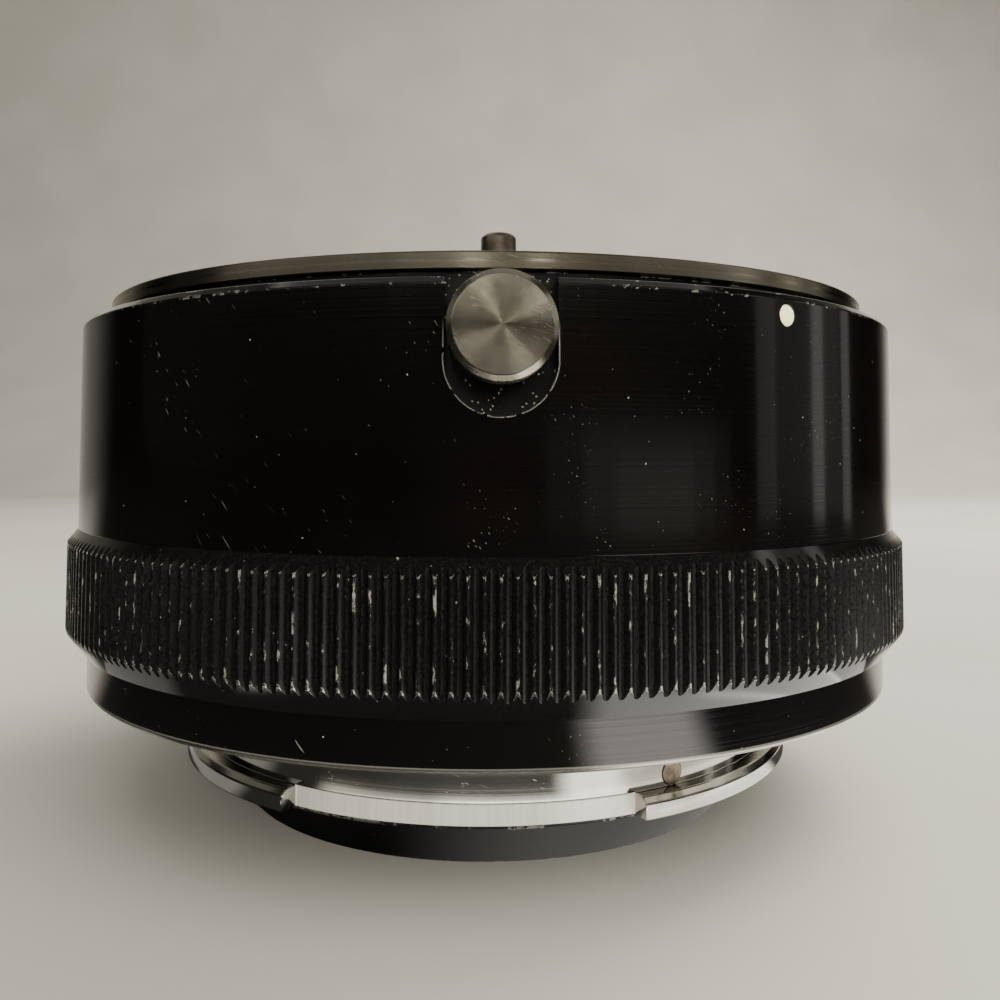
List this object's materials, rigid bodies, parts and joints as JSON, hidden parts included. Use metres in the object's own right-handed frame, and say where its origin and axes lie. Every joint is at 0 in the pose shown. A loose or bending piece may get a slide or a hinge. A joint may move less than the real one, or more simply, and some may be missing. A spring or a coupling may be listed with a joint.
{
  "type": "macro extension tube",
  "caption": "Short black metal tube with a knurled grip, a camera bayonet behind, a lens bayonet in front, a sliding lens release button and an aperture drive ring.",
  "frame": {"origin": "on the optical axis, in the plane of the rear seat face that meets the camera", "axes": "+Z along the optical axis towards the lens, -Y towards the lens release button"},
  "size_m": [0.064, 0.0651, 0.038],
  "materials": {
    "black_anodised": "gloss black anodised",
    "matt_black": "matt black",
    "plated_brass": "satin chrome on turned brass",
    "bright_chrome": "turned face, chromed",
    "steel": "turned and stamped steel",
    "spring_steel": "spring steel",
    "enamel": "cream enamel"
  },
  "bodies": {
    "tube": {"main_barrel": "black_anodised", "grip_ring": "black_anodised", "rear_ring": "black_anodised", "camera_bayonet": "plated_brass", "bayonet_stop_pin": "steel", "camera_bayonet_screws": "steel", "rear_lip": "matt_black", "inner_sleeve": "matt_black", "sleeve_screws": "steel", "drive_ring_clip": "spring_steel", "lens_bayonet": "plated_brass", "lens_bayonet_screws": "steel", "lens_stop_pin": "steel", "leaf_springs": "spring_steel", "leaf_spring_screws": "steel", "index_dot": "enamel", "lock_housing": "matt_black", "lock_housing_screws": "steel", "lock_spring": "spring_steel", "barrel_spring_post": "steel", "aperture_spring": "spring_steel", "inner_cover": "matt_black", "cover_pillars": "steel", "cover_screws": "steel"},
    "lens_release": {"release_button": "bright_chrome", "button_stem": "steel", "lock_pin": "steel"},
    "aperture_drive": {"aperture_ring": "matt_black", "rear_lever": "steel", "front_lever": "steel", "lever_rivets": "steel", "ring_spring_post": "steel"}
  },
  "joints": [
    {"name": "release_slide", "type": "slide", "parent": "tube", "child": "lens_release", "axis": [0, 0, -1], "range_m": [0, 0.00155], "stiffness_N_per_m": 600, "springref_m": -0.002, "deforming": ["lock_spring"]},
    {"name": "aperture_turn", "type": "hinge", "parent": "tube", "child": "aperture_drive", "pos_m": [0, 0, 0.0136], "axis": [0, 0, 1], "range_deg": [0, 17], "stiffness_Nm_per_rad": 0.01, "springref_deg": -22.92, "deforming": ["aperture_spring"]}
  ]
}
